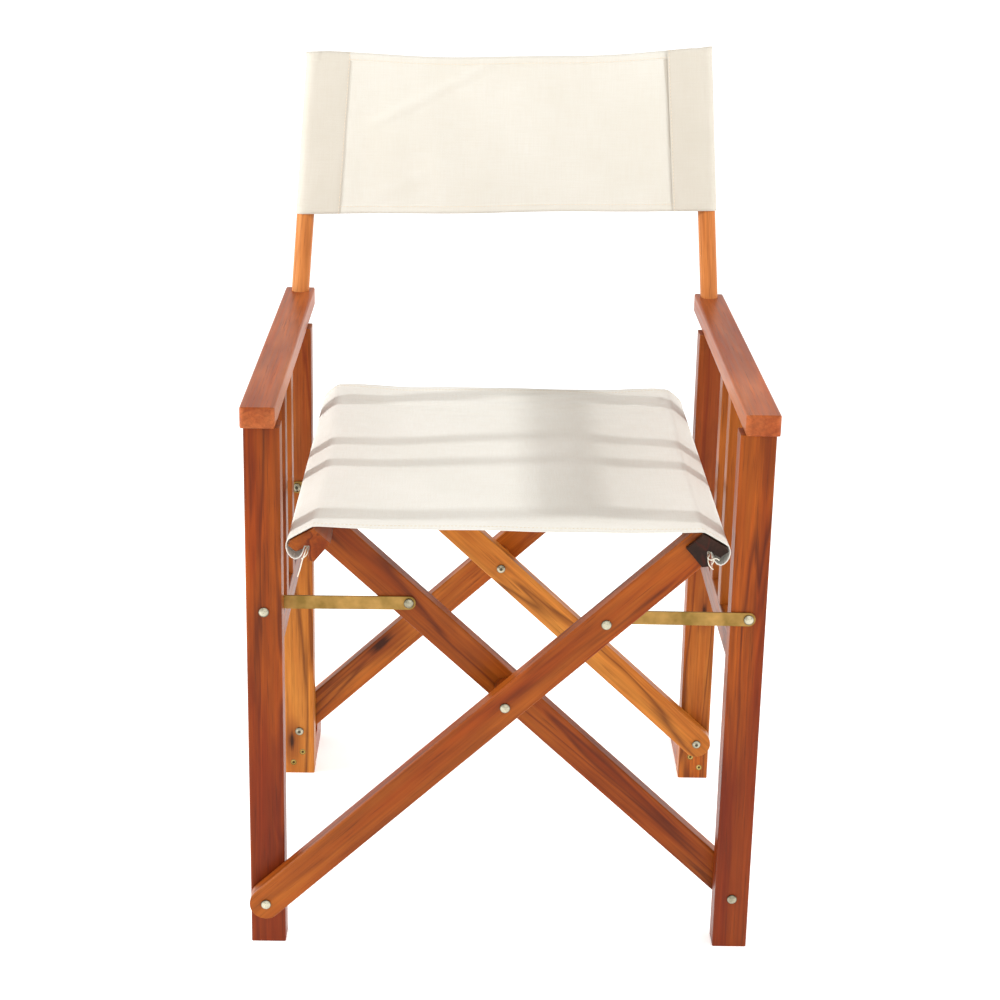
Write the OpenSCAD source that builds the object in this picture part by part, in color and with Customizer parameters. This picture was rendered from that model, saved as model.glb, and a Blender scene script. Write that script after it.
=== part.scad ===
// Folding armchair with a cloth seat and a cloth back. Millimetres, +X right, +Y back, +Z up.

/* [Overall] */
// Half the distance between the centre lines of the two side frames
frame_half = 258; // [250:1:270]
// Front face of the front legs to front face of the rear legs
leg_span = 404; // [390:1:420]
// Height of the armrests' underside
arm_z = 602; // [590:1:620]
// Y of the front legs' front faces, so that the chair is centred on the origin
front_y = -269.4; // [-280:0.2:-255]

/* [Legs and armrests] */
// Leg width, seen from the front
leg_w = 38; // [36:1:40]
// Leg thickness, front to back
leg_t = 28; // [26:1:30]
// Armrest width
arm_w = 37; // [34:1:40]
// Armrest thickness
arm_t = 23; // [20:1:26]
// Armrest length
arm_len = 533; // [520:1:545]
// How far the armrest stands out past the leg's centre line
arm_shift = 4; // [0:1:6]

/* [Side frames] */
// Top of the lower side rail
rail_top = 345; // [330:1:360]
// Height of the lower side rail
rail_h = 34; // [28:1:40]
// Thickness of the side rail and the slats
side_t = 18; // [14:1:22]
// Width of each upright slat
slat_w = 24; // [18:1:30]
// Distance between the centre lines of a side frame's two slats
slat_gap = 78; // [50:1:130]
// Length of the wedge foot behind each rear leg
foot_len = 90; // [80:1:100]

/* [Back posts] */
// Diameter of the round back posts
post_d = 22; // [20:1:24]
// Lean of the posts to the back, in degrees
lean_back = 8; // [6:0.5:10]
// Lean of the posts inwards, in degrees
lean_in = 3.7; // [2:0.1:5]
// Length of each post
post_len = 318; // [300:1:330]

/* [Scissor bars] */
// Height of the pivots at the bars' lower ends
pivot_z = 60; // [56:1:64]
// Height of the pivot where the bars cross
cross_z = 300; // [292:1:308]
// Width of a bar
bar_w = 36; // [34:1:38]
// Thickness of a bar
bar_t = 20; // [18:1:22]
// Distance from the middle of the chair to each strap bolt on a bar
strap_x = 105; // [98:1:112]
// Height of the strap bolts on the legs
strap_z = 397; // [390:1:404]

/* [Seat] */
// X of the top ridge of the seat rail
ridge_x = 202; // [198:1:206]
// Height of that ridge
ridge_z = 502; // [496:1:506]
// Length of the seat rails
seat_rail_len = 532; // [520:1:540]

/* [Hidden] */
$fn = 48;
gap = 0.3;                       // clearance between parts that move past each other
fit = 0.06;                      // radial clearance of a shank in its bore
bolt_r = 3;                      // shank radius
head_r = 5.4;                    // head and nut radius
head_h = 3.2;
strap_t = 2;
strap_w = 15;
layer = strap_t + 2 * gap;       // room between a bar and a leg for a strap or washer
rear = leg_span;                 // rear legs' front face
inner_w = side_t / 2;            // half thickness of rail and slats
bar_angle = atan2(cross_z - pivot_z, frame_half);
strap_q = cross_z + strap_x * tan(bar_angle);
// front faces of the four bars, front to back
y_a = -layer - bar_t;            // front bar of leaf A, before the front legs
y_b = leg_t + layer;             // front bar of leaf B, behind the front legs
y_b2 = rear - layer - bar_t;     // rear bar of leaf B, before the rear legs
y_a2 = rear + leg_t + layer;     // rear bar of leaf A, behind the rear legs
seat_y0 = -28;                   // front end of the seat rails
post_x = frame_half + 4;
post_y = rear + 104;
post_z = arm_z + 3;
canvas_t = 2;
// seat rail section for the right side, measured from its ridge
rail_pts = [[-17.2, -15.4], [0, 0], [26, -15], [26.8, -18.4], [18.8, -24.8], [11.6, -21.6],
            [10.4, -18.2], [4.6, -18.2], [5.2, -28], [7, -34.8], [0, -35.8], [-12, -21.2]];
// what a bar's upper end leaves free for the rail
socket_pts = [[-17.2, -15.4], [0, 0], [90, 0], [90, -90], [46.8, -90], [0, -35.8], [-12, -21.2]];

module at_frame() { translate([0, front_y, 0]) children(); }
// side: -1 left, 1 right
module sided(s) { if (s > 0) children(); else mirror([1, 0, 0]) children(); }
module round_rect(w, h, r) {
    translate([r, 0]) square([w - 2 * r, h]);
    translate([0, r]) square([w, h - 2 * r]);
    for (x = [r, w - r], y = [r, h - r]) translate([x, y]) circle(r, $fn = 32);
}
// extrude a drawing in X and Z along Y, from y0 to y1
module along_y(y0, y1) { translate([0, y1, 0]) rotate([90, 0, 0]) linear_extrude(y1 - y0) children(); }
module bore_y(x, z, y0, y1, r) { translate([x, y0, z]) rotate([-90, 0, 0]) cylinder(r = r, h = y1 - y0); }
module rod_y(x, z, y0, y1, r) { bore_y(x, z, y0, y1, r); }
// domed head whose flat side lies at y, crown towards -Y
module dome(x, z, y) {
    translate([x, y, z]) rotate([90, 0, 0]) rotate_extrude() intersection() {
        translate([0, -5.6]) circle(8.8, $fn = 64);
        square([head_r, head_h]);
    }
}
module nut(x, z, y, h = 3.2) {
    difference() {
        rod_y(x, z, y, y + h, head_r);
        bore_y(x, z, y + h - 0.8, y + h + 1, 1.6);
    }
}
module washer(x, z, y0, y1) {
    difference() { rod_y(x, z, y0, y1, 8); bore_y(x, z, y0 - 1, y1 + 1, bolt_r + fit); }
}

// ---- side frames, drawn for the right side ----
module leg_body(y, pivot) {
    difference() {
        translate([frame_half - leg_w / 2, y, 0]) linear_extrude(arm_z) round_rect(leg_w, leg_t, 2.2);
        bore_y(frame_half, pivot_z, y - 1, y + leg_t + 1, bolt_r + fit);
        bore_y(frame_half, strap_z, y - 1, y + leg_t + 1, bolt_r + fit);
        if (pivot == "rear") for (s = foot_screw_at) {
            bore_y(frame_half + s[0], s[1], y - 1, y + leg_t + 1, 2 + fit);
            translate([frame_half + s[0], y - 0.01, s[1]]) rotate([-90, 0, 0]) cylinder(r1 = 4.2, r2 = 2, h = 3);
        }
    }
}
foot_screw_at = [[-4, 30], [8, 15]];
module leg_front(s) { color("#a5502a") sided(s) leg_body(0, "front"); }
module leg_rear(s) { color("#b35f34") sided(s) leg_body(rear, "rear"); }
module armrest(s) {
    x0 = frame_half + arm_shift - arm_w / 2;
    color("#b9694f") sided(s) difference() {
        intersection() {
            translate([x0, -4, arm_z - 1]) linear_extrude(arm_t + 2) round_rect(arm_w, arm_len, 6);
            along_y(-6, arm_len) translate([x0, arm_z]) round_rect(arm_w, arm_t, 2.6);
            translate([x0 - 1, -4, arm_z]) rotate([90, 0, 90]) linear_extrude(arm_w + 2)
                round_rect(arm_len, arm_t, 2.6);
        }
        post_cyl(post_d / 2 + fit, 0, 60);
    }
}
module post_cyl(r, z0, h) {
    translate([post_x, post_y, post_z]) rotate([-lean_back, -lean_in, 0]) translate([0, 0, z0])
        cylinder(r = r, h = h, $fn = 64);
}
module back_post(s) {
    color("#e0975c") sided(s) union() {
        post_cyl(post_d / 2, 0, post_len - 4);
        translate([post_x, post_y, post_z]) rotate([-lean_back, -lean_in, 0])
            translate([0, 0, post_len - 4]) rotate_extrude($fn = 64) {
                square([post_d / 2 - 4, 4]);
                translate([0, 0]) intersection() {
                    translate([post_d / 2 - 4, 0]) circle(4, $fn = 32);
                    square([post_d / 2, 4]);
                }
            }
    }
}
module side_rail(s) {
    color("#9c4a26") sided(s) along_y(leg_t, rear)
        translate([frame_half - inner_w, rail_top - rail_h]) round_rect(side_t, rail_h, 2);
}
slat_mid = (rear + leg_t) / 2;
module slat(s, i) {
    color("#aa5730") sided(s)
        translate([frame_half - inner_w, slat_mid + slat_gap * (i - 1.5) - slat_w / 2, rail_top])
            linear_extrude(arm_z - rail_top) round_rect(side_t, slat_w, 2);
}
module foot(s) {
    y0 = rear + leg_t;
    ye = y0 + foot_len - 14;
    color("#a85a3c") sided(s) difference() {
        translate([frame_half - leg_w / 2, 0, 0]) rotate([90, 0, 90]) linear_extrude(leg_w)
            polygon(concat([[y0, 2.5], [y0, 38], [y0 + 23.5, 38], [y0 + 23.5, 48]],
                [for (a = [90:-7.5:-90]) [ye + 14 * cos(a), 16.5 + 14 * sin(a)]]));
        for (p = foot_screw_at) bore_y(frame_half + p[0], p[1], y0 - 1, y0 + 22, 2 + fit);
        translate([frame_half, rear + leg_t + 52, 0]) cylinder(r = 4 + fit, h = 8.5);
    }
}
module foot_glide(s) {
    color("#3a2a20") sided(s) translate([frame_half, rear + leg_t + 52, 0]) {
        cylinder(r = 9, h = 2.5);
        cylinder(r = 4, h = 8);
    }
}
module foot_screws(s) {
    color("#c9b06a") sided(s) for (p = foot_screw_at)
        translate([frame_half + p[0], rear, p[1]]) rotate([-90, 0, 0]) difference() {
            union() {
                translate([0, 0, 0.3]) cylinder(r1 = 3.9, r2 = 1.9, h = 2.7);
                translate([0, 0, 2.6]) cylinder(r = 2, h = 44);
            }
            translate([0, 0, -0.1]) for (a = [0, 90]) rotate([0, 0, a]) cube([3.2, 0.9, 2.6], center = true);
        }
}
// bolts that belong to a side frame: lower pivots and leg ends of the straps
module frame_bolts_left() {
    x = -frame_half;
    color("#cfcabb") {
        dome(x, pivot_z, y_a - gap);
        rod_y(x, pivot_z, y_a - gap - 0.6, leg_t + 1, bolt_r);
        nut(x, pivot_z, leg_t);
        dome(x, pivot_z, rear);
        rod_y(x, pivot_z, rear - 0.6, y_a2 + bar_t + gap + 1, bolt_r);
        nut(x, pivot_z, y_a2 + bar_t + gap);
        dome(x, strap_z, 0);
        rod_y(x, strap_z, -0.6, leg_t + layer + 1, bolt_r);
        nut(x, strap_z, leg_t + layer, 3);
        dome(x, strap_z, rear - layer);
        rod_y(x, strap_z, rear - layer - 0.6, rear + leg_t + 1, bolt_r);
        nut(x, strap_z, rear + leg_t, 3);
    }
}
module frame_bolts_right() {
    x = frame_half;
    color("#cfcabb") {
        dome(x, pivot_z, 0);
        rod_y(x, pivot_z, -0.6, y_b + bar_t + gap + 1, bolt_r);
        nut(x, pivot_z, y_b + bar_t + gap);
        dome(x, pivot_z, y_b2 - gap);
        rod_y(x, pivot_z, y_b2 - gap - 0.6, rear + leg_t + 1, bolt_r);
        nut(x, pivot_z, rear + leg_t);
        dome(x, strap_z, -layer);
        rod_y(x, strap_z, -layer - 0.6, leg_t + 1, bolt_r);
        nut(x, strap_z, leg_t, 3);
        dome(x, strap_z, rear);
        rod_y(x, strap_z, rear - 0.6, rear + leg_t + layer + 1, bolt_r);
        nut(x, strap_z, rear + leg_t + layer, 3);
    }
}
module pivot_washers_left() {
    color("#d8d2c0") {
        washer(-frame_half, pivot_z, -layer + gap, 0);
        washer(-frame_half, pivot_z, rear + leg_t, y_a2 - gap);
    }
}
module pivot_washers_right() {
    color("#d8d2c0") {
        washer(frame_half, pivot_z, leg_t, y_b - gap);
        washer(frame_half, pivot_z, rear - layer + gap, rear);
    }
}

// ---- scissor bars: s is 1 for a bar that rises to the right, -1 for one that rises to the left ----
bar_len = 690;
module bar(y, s) {
    a = s > 0 ? bar_angle : 180 - bar_angle;
    difference() {
        intersection() {
            along_y(y - 1, y + bar_t + 1) translate([-s * frame_half, pivot_z]) rotate(a) {
                circle(bar_w / 2, $fn = 64);
                translate([0, -bar_w / 2]) square([bar_len, bar_w]);
            }
            translate([-s * frame_half, 0, pivot_z]) rotate([0, -a, 0])
                translate([-40, y, -bar_w / 2 - 0.01]) rotate([90, 0, 90]) linear_extrude(bar_len + 60)
                    round_rect(bar_t, bar_w + 0.02, 2);
        }
        along_y(y - 1, y + bar_t + 1)
            polygon([for (p = socket_pts) [s * (ridge_x + p[0]), ridge_z + p[1]]]);
        translate([-500, y - 1, ridge_z - 0.2]) cube([1000, bar_t + 2, 300]);
        translate([s > 0 ? ridge_x : -ridge_x - 400, y - 1, 0]) cube([400, bar_t + 2, 800]);
        bore_y(-s * frame_half, pivot_z, y - 1, y + bar_t + 1, bolt_r + fit);
        bore_y(0, cross_z, y - 1, y + bar_t + 1, bolt_r + fit);
        bore_y(s * strap_x, strap_q, y - 1, y + bar_t + 1, bolt_r + fit);
    }
}
module bar_a_front() { color("#b5622f") bar(y_a, 1); }
module bar_a_rear() { color("#a85226") bar(y_a2, 1); }
module bar_b_front() { color("#aa5429") bar(y_b, -1); }
module bar_b_rear() { color("#c47a42") bar(y_b2, -1); }
module seat_rail(s) {
    color(s > 0 ? "#4a342b" : "#b0602c") sided(s) along_y(seat_y0, seat_y0 + seat_rail_len)
        translate([ridge_x, ridge_z]) polygon(rail_pts);
}
module cross_spacer_front() {
    color("#9a5a34") difference() {
        rod_y(0, cross_z, y_a + bar_t, y_b - gap, 11);
        bore_y(0, cross_z, y_a, y_b + 1, bolt_r + fit);
    }
}
module cross_spacer_rear() {
    color("#9a5a34") difference() {
        rod_y(0, cross_z, y_b2 + bar_t + gap, y_a2, 11);
        bore_y(0, cross_z, y_b2, y_a2 + 1, bolt_r + fit);
    }
}
module cross_bolts() {
    color("#cfcabb") {
        dome(0, cross_z, y_a);
        rod_y(0, cross_z, y_a - 0.6, y_b + bar_t + gap + 1, bolt_r);
        nut(0, cross_z, y_b + bar_t + gap);
        dome(0, cross_z, y_b2 - gap);
        rod_y(0, cross_z, y_b2 - gap - 0.6, y_a2 + bar_t + 1, bolt_r);
        nut(0, cross_z, y_a2 + bar_t);
    }
}
// bolts in the bars where the straps end; each stops inside its bar, short of the strap
module strap_bolts_a() {
    color("#cfcabb") {
        dome(strap_x, strap_q, y_a);
        rod_y(strap_x, strap_q, y_a - 0.6, y_a + bar_t - gap, bolt_r);
        rod_y(strap_x, strap_q, y_a2 + gap, y_a2 + bar_t + 1, bolt_r);
        nut(strap_x, strap_q, y_a2 + bar_t);
    }
}
module strap_bolts_b() {
    color("#cfcabb") {
        dome(-strap_x, strap_q, y_b2);
        rod_y(-strap_x, strap_q, y_b2 - 0.6, y_b2 + bar_t - gap, bolt_r);
        rod_y(-strap_x, strap_q, y_b + gap, y_b + bar_t + 1, bolt_r);
        nut(-strap_x, strap_q, y_b + bar_t);
    }
}
// a strap drawn from its leg end on the right to its bar end, with y its front face
module strap_plate(y) {
    dx = frame_half - strap_x;
    dz = strap_q - strap_z;
    turn = atan2(dz, -dx);
    len = sqrt(dx * dx + dz * dz);
    difference() {
        translate([frame_half, 0, strap_z]) rotate([0, -turn, 0]) along_y(y, y + strap_t) {
            circle(strap_w / 2, $fn = 48);
            translate([len, 0]) circle(strap_w / 2, $fn = 48);
            translate([0, -strap_w / 2]) square([len, strap_w]);
        }
        bore_y(frame_half, strap_z, y - 1, y + strap_t + 1, bolt_r + fit);
        bore_y(strap_x, strap_q, y - 1, y + strap_t + 1, bolt_r + fit);
    }
}
module strap_front_left() { color("#bd9445") sided(-1) strap_plate(leg_t + gap); }
module strap_rear_left() { color("#bd9445") sided(-1) strap_plate(rear - layer + gap); }
module strap_front_right() { color("#bd9445") strap_plate(-layer + gap); }
module strap_rear_right() { color("#bd9445") strap_plate(rear + leg_t + gap); }
// rivet in the bar end of a strap, head before it
module rivet_head(s, y) {
    color("#d6cfae") sided(s) {
        dome(strap_x, strap_q, y);
        rod_y(strap_x, strap_q, y - 0.6, y + strap_t, bolt_r);
    }
}
// rivet in the bar end of a strap, flat nut behind it
module rivet_nut(s, y) {
    color("#d6cfae") sided(s) {
        rod_y(strap_x, strap_q, y, y + strap_t + 0.5, bolt_r);
        nut(strap_x, strap_q, y + strap_t, 3);
    }
}

// ---- cloth and its hem cords, as plain closed solids ----
module hem_cord(s) {
    color("#e6dcc8") sided(s) rod_y(ridge_x + 7.6, ridge_z - 21.6, seat_y0 + 8, seat_y0 + seat_rail_len - 8, 1.9);
}
module seat_cloth(s) {
    g = 0.3;
    t = canvas_t;
    color("#f3efe2") sided(s) along_y(seat_y0 + 5, seat_y0 + seat_rail_len - 4) translate([ridge_x, ridge_z])
        polygon([[0.5 - ridge_x, g], [0, g], [26.2, -14.8], [27.2, -18.4], [20, -25], [19.4, -27.4],
                 [29, -19.6], [28.6, -13.6], [0.6, g + t], [0.5 - ridge_x, g + t]]);
}
module back_cloth(s) {
    z0 = 126;
    h = 202;
    inner = post_d / 2 + 0.3;
    color("#f3efe2") sided(s) difference() {
        union() {
            post_cyl(inner + canvas_t, z0, h);
            translate([0, post_y, post_z]) rotate([-lean_back, 0, 0])
                translate([0.5, -inner - canvas_t, z0]) rotate([90, 0, 0]) mirror([0, 0, 1])
                    linear_extrude(canvas_t) polygon([[0, 0], [post_x - 0.5 - z0 * tan(lean_in), 0],
                        [post_x - 0.5 - (z0 + h) * tan(lean_in), h], [0, h]]);
        }
        post_cyl(inner, z0 - 20, h + 40);
    }
}

at_frame() leg_front(-1);  // leg_front_left
at_frame() leg_front(1);  // leg_front_right
at_frame() leg_rear(-1);  // leg_rear_left
at_frame() leg_rear(1);  // leg_rear_right
at_frame() armrest(-1);  // armrest_left
at_frame() armrest(1);  // armrest_right
at_frame() side_rail(-1);  // side_rail_left
at_frame() side_rail(1);  // side_rail_right
at_frame() slat(-1, 1);  // slat_left_1
at_frame() slat(-1, 2);  // slat_left_2
at_frame() slat(1, 1);  // slat_right_1
at_frame() slat(1, 2);  // slat_right_2
at_frame() foot(-1);  // foot_left
at_frame() foot(1);  // foot_right
at_frame() foot_glide(-1);  // foot_glide_left
at_frame() foot_glide(1);  // foot_glide_right
at_frame() foot_screws(-1);  // foot_screws_left
at_frame() foot_screws(1);  // foot_screws_right
at_frame() back_post(-1);  // back_post_left
at_frame() back_post(1);  // back_post_right
at_frame() frame_bolts_left();
at_frame() frame_bolts_right();
at_frame() pivot_washers_left();
at_frame() pivot_washers_right();
at_frame() bar_a_front();
at_frame() bar_a_rear();
at_frame() bar_b_front();
at_frame() bar_b_rear();
at_frame() seat_rail(-1);  // seat_rail_left
at_frame() seat_rail(1);  // seat_rail_right
at_frame() cross_spacer_front();
at_frame() cross_spacer_rear();
at_frame() cross_bolts();
at_frame() strap_bolts_a();
at_frame() strap_bolts_b();
at_frame() strap_front_left();
at_frame() strap_front_right();
at_frame() strap_rear_left();
at_frame() strap_rear_right();
at_frame() rivet_head(-1, leg_t + gap);  // strap_rivet_front_left
at_frame() rivet_nut(1, -layer + gap);  // strap_rivet_front_right
at_frame() rivet_nut(-1, rear - layer + gap);  // strap_rivet_rear_left
at_frame() rivet_head(1, rear + leg_t + gap);  // strap_rivet_rear_right
at_frame() hem_cord(-1);  // hem_cord_left
at_frame() hem_cord(1);  // hem_cord_right
at_frame() seat_cloth(-1);  // seat_cloth_left
at_frame() seat_cloth(1);  // seat_cloth_right
at_frame() back_cloth(-1);  // back_cloth_left
at_frame() back_cloth(1);  // back_cloth_right
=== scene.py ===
"""Folding armchair: varnished wood, plated fittings and a canvas seat and back."""
import math
import bpy
from mathutils import Matrix, Vector, noise


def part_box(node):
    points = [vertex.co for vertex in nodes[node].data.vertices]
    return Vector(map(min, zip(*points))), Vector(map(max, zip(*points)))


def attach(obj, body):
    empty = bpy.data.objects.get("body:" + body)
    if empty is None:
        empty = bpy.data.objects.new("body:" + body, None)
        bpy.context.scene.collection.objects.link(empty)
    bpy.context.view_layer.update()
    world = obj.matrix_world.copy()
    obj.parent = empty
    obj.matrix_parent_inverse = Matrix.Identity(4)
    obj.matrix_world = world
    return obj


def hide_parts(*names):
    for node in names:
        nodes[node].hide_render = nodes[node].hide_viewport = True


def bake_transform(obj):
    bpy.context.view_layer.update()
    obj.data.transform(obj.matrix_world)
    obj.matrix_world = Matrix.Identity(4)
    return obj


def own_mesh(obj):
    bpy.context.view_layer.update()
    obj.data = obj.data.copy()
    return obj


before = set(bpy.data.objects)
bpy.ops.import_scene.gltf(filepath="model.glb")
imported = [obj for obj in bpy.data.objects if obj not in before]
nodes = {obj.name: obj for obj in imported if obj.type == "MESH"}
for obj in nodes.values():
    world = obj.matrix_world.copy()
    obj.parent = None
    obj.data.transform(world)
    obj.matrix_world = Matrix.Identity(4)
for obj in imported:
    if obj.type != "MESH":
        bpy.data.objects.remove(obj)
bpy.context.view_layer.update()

MM = 0.001
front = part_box("leg_front_left")[0][1]
rear = (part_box("leg_rear_left")[0][1] - front) / MM       # rear legs' front faces


def at(x, y, z):
    """A point given in millimetres, with y counted back from the front legs' front faces."""
    return Vector((x * MM, front + y * MM, z * MM))


# ---------------------------------------------------------------- camera, floor and light

CAMERA_PLACE = (-42.6, -1973.8, 1229.3)
CAMERA_TURN = (0.898, -16.717, 1.172)  # degrees: turned right, tipped up, right side raised
LENS, SENSOR = 72.05, 36.0
SHIFT_Y = -0.10


def make_camera():
    data = bpy.data.cameras.new("camera")
    data.sensor_width = SENSOR
    data.lens = LENS
    data.shift_y = SHIFT_Y
    yaw, pitch, roll = (math.radians(a) for a in CAMERA_TURN)
    ahead = Vector((math.sin(yaw) * math.cos(pitch), math.cos(yaw) * math.cos(pitch), math.sin(pitch)))
    level = Vector((math.cos(yaw), -math.sin(yaw), 0.0))
    above = level.cross(ahead)
    right = level * math.cos(roll) + above * math.sin(roll)
    up = above * math.cos(roll) - level * math.sin(roll)
    cam = bpy.data.objects.new("camera", data)
    axes = Matrix((right, up, -ahead)).transposed().to_4x4()
    cam.matrix_world = Matrix.Translation(at(*CAMERA_PLACE)) @ axes
    bpy.context.scene.collection.objects.link(cam)
    bpy.context.scene.camera = cam


WHITE = (1.0, 1.0, 1.0)
COOL = (0.93, 0.97, 1.0)
WARM_SKY = (1.0, 0.985, 0.965, 1.0)
SKY_RISE = (0.15, 0.55)                # the sky dims between these heights; straight up is 1
SKY_GLOW = (1.0, 0.78)                 # its strength below and above them
FLOOR_REACH = 14.0                     # from its middle to its edges, in metres


def softbox(name, place, target, size, power, tint=WHITE):
    """A rectangular lamp at place, facing target."""
    data = bpy.data.lights.new(name, "AREA")
    data.shape = "RECTANGLE"
    data.size, data.size_y = size
    data.energy = power
    data.color = tint
    lamp = bpy.data.objects.new(name, data)
    lamp.location = place
    lamp.rotation_euler = (target - place).to_track_quat("-Z", "Y").to_euler()
    bpy.context.scene.collection.objects.link(lamp)


def make_lamps():
    """A broad soft lamp in front, and a small one each side that draws the slats' shadows."""
    seat_middle = at(0, 200, 520)
    softbox("key", at(500, -2300, 1500), seat_middle, (2.4, 1.8), 9.0)
    softbox("side_left", at(-2430, -120, 1270), seat_middle, (0.18, 0.18), 42.0, COOL)
    softbox("side_right", at(2230, -320, 1740), seat_middle, (0.18, 0.18), 25.0, COOL)


def make_sky():
    """Almost white all round, a little dimmer overhead."""
    world = bpy.data.worlds.new("studio")
    world.use_nodes = True
    tree = world.node_tree
    way = tree.nodes.new("ShaderNodeTexCoord").outputs["Generated"]
    height = tree.nodes.new("ShaderNodeSeparateXYZ")
    fade = tree.nodes.new("ShaderNodeMapRange")
    tree.links.new(way, height.inputs[0])
    tree.links.new(height.outputs[2], fade.inputs[0])
    for socket, value in zip(fade.inputs[1:5], SKY_RISE + SKY_GLOW):
        socket.default_value = value
    background = tree.nodes["Background"]
    background.inputs["Color"].default_value = WARM_SKY
    tree.links.new(fade.outputs[0], background.inputs["Strength"])
    bpy.context.scene.world = world


def make_floor():
    """A plain pale floor that glows a little, so that it comes out almost white."""
    mesh = bpy.data.meshes.new("floor")
    corners = [(-1, -1, 0), (1, -1, 0), (1, 1, 0), (-1, 1, 0)]
    mesh.from_pydata([FLOOR_REACH * Vector(c) for c in corners], [], [(0, 1, 2, 3)])
    floor = bpy.data.objects.new("floor", mesh)
    bpy.context.scene.collection.objects.link(floor)
    graph = Graph("floor_paper")
    graph.surface(**{"Base Color": linear("f6f6f5"), "Roughness": 0.9, "Specular IOR Level": 0.1,
                     "Emission Color": (1.0, 1.0, 1.0, 1.0), "Emission Strength": 0.5})
    mesh.materials.append(graph.material)


# ---------------------------------------------------------------- material building

def linear(code):
    """A linear colour from six hexadecimal digits."""
    parts = [int(code[i:i + 2], 16) / 255 for i in (0, 2, 4)]
    return tuple(c / 12.92 if c <= 0.04045 else ((c + 0.055) / 1.055) ** 2.4 for c in parts) + (1.0,)


class Graph:
    """A material's node tree, with short ways to add the nodes used here."""

    def __init__(self, name):
        self.material = bpy.data.materials.new(name)
        self.material.use_nodes = True
        self.tree = self.material.node_tree
        self.tree.nodes.clear()

    def add(self, kind, inputs=None, **settings):
        node = self.tree.nodes.new(kind)
        for key, value in settings.items():
            setattr(node, key, value)
        for key, value in (inputs or {}).items():
            socket = node.inputs[key]
            if isinstance(value, bpy.types.NodeSocket):
                self.tree.links.new(value, socket)
            else:
                socket.default_value = value
        return node

    def math(self, operation, a, b=0.5):
        return self.add("ShaderNodeMath", {0: a, 1: b}, operation=operation).outputs[0]

    def spread(self, value, low, high, to_low=0.0, to_high=1.0):
        node = self.add("ShaderNodeMapRange", {0: value, 1: low, 2: high, 3: to_low, 4: to_high})
        return node.outputs[0]

    def mix(self, factor, a, b, blend="MIX"):
        node = self.add("ShaderNodeMix", {0: factor, 6: a, 7: b}, data_type="RGBA", blend_type=blend)
        return node.outputs[2]

    def noise(self, vector, scale, detail=2.0, roughness=0.5, distortion=0.0):
        node = self.add("ShaderNodeTexNoise", {"Vector": vector, "Scale": scale, "Detail": detail,
                                               "Roughness": roughness, "Distortion": distortion})
        return node.outputs[0]

    def mapped(self, vector, scale=(1, 1, 1), turn=(0, 0, 0), shift=(0, 0, 0)):
        node = self.add("ShaderNodeMapping", {"Vector": vector, "Scale": scale, "Rotation": turn,
                                              "Location": shift})
        return node.outputs[0]

    def place(self, output="Object"):
        return self.add("ShaderNodeTexCoord").outputs[output]

    def surface(self, **inputs):
        shader = self.add("ShaderNodeBsdfPrincipled", inputs)
        self.add("ShaderNodeOutputMaterial", {"Surface": shader.outputs[0]})
        return shader


# ---------------------------------------------------------------- wood

RISE = math.atan2(240, 258)            # slope of a scissor bar
UPRIGHT = (0.0, 0.0, 0.0)
LENGTHWISE = (math.pi / 2, 0.0, 0.0)
BAR_TO_RIGHT = (0.0, RISE - math.pi / 2, 0.0)
BAR_TO_LEFT = (0.0, math.pi / 2 - RISE, 0.0)
LEAN_BACK, LEAN_IN = math.radians(8.0), math.radians(3.7)  # of the back posts
POST_LEFT = (LEAN_BACK, -LEAN_IN, 0.0)
POST_RIGHT = (LEAN_BACK, LEAN_IN, 0.0)
VEIN, DARKENED_TONE, PORE, KNOT_RIM, KNOT_HEART = "45160a", "72240a", "3a1a0c", "6b2c12", "2a130b"


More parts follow.
